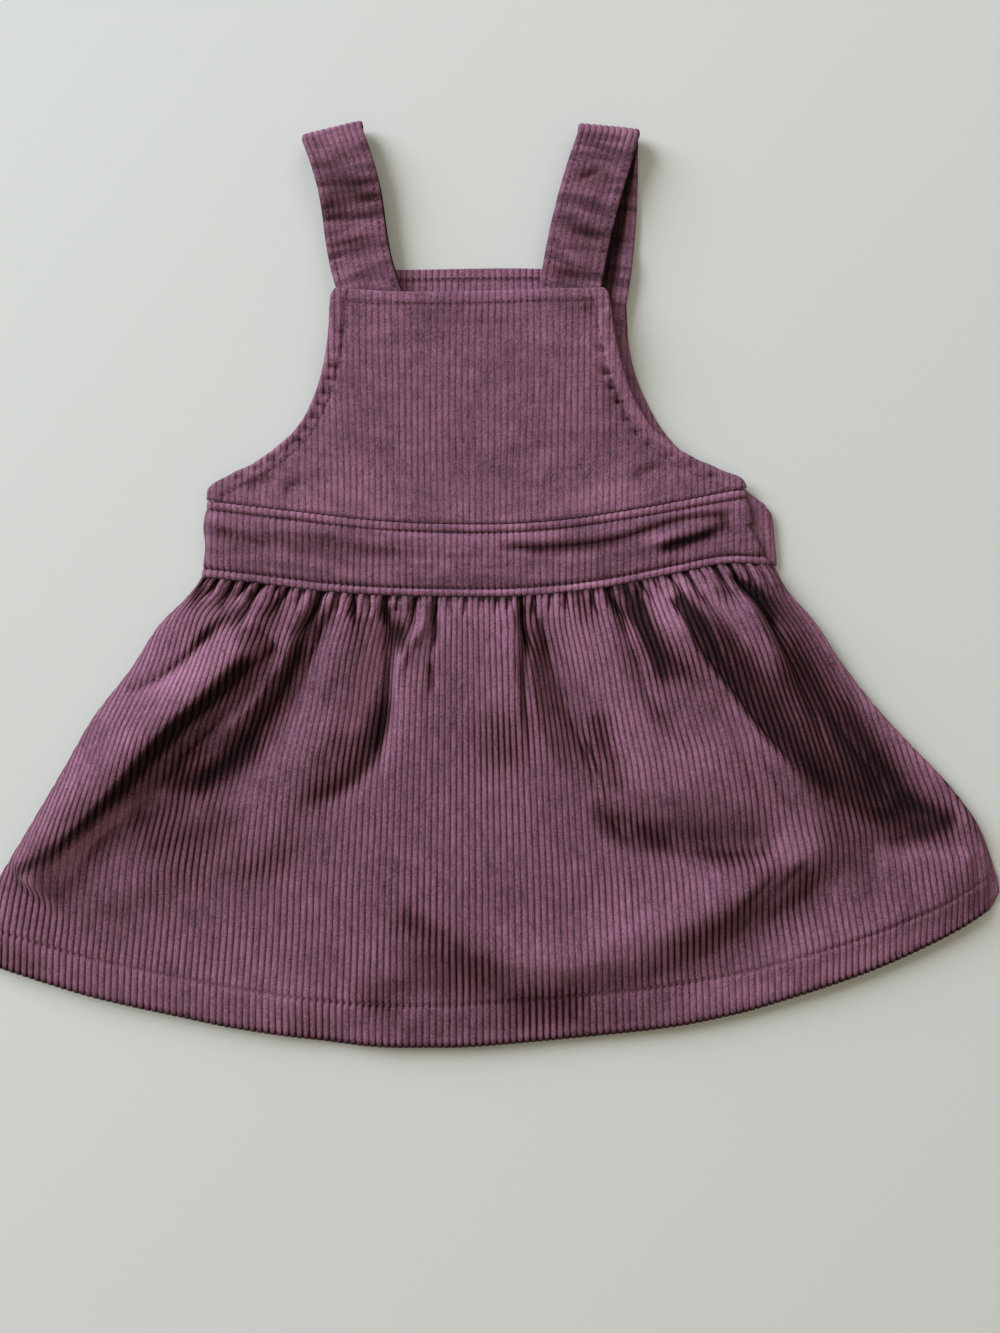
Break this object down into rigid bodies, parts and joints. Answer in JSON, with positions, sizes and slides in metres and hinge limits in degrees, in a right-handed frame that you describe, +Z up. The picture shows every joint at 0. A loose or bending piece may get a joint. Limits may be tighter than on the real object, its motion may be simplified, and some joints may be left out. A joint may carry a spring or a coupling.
{
  "type": "pinafore dress",
  "caption": "Toddler's corduroy pinafore dress laid flat: bib front, waistband, gathered A-line skirt and folded-over shoulder straps.",
  "frame": {"origin": "on the table, under the middle of the garment's box", "axes": "+X to the right of the garment as seen from above, +Y from the hem to the straps, +Z up from the table; the front side is up"},
  "size_m": [0.4706, 0.4241, 0.0237],
  "materials": {
    "front_bib": "plum wide-wale corduroy, matt with a soft nap sheen",
    "front_waistband": "plum wide-wale corduroy, matt with a soft nap sheen",
    "front_skirt": "plum wide-wale corduroy, matt with a soft nap sheen",
    "back_bodice": "plum wide-wale corduroy, matt with a soft nap sheen",
    "back_waistband": "plum wide-wale corduroy, matt with a soft nap sheen",
    "back_skirt": "plum wide-wale corduroy, matt with a soft nap sheen",
    "strap_left": "plum wide-wale corduroy, matt with a soft nap sheen",
    "strap_right": "plum wide-wale corduroy, matt with a soft nap sheen"
  },
  "bodies": {
    "root": {"front_bib": "front_bib", "front_waistband": "front_waistband", "front_skirt": "front_skirt", "back_bodice": "back_bodice", "back_waistband": "back_waistband", "back_skirt": "back_skirt", "strap_left": "strap_left", "strap_right": "strap_right"}
  },
  "joints": []
}
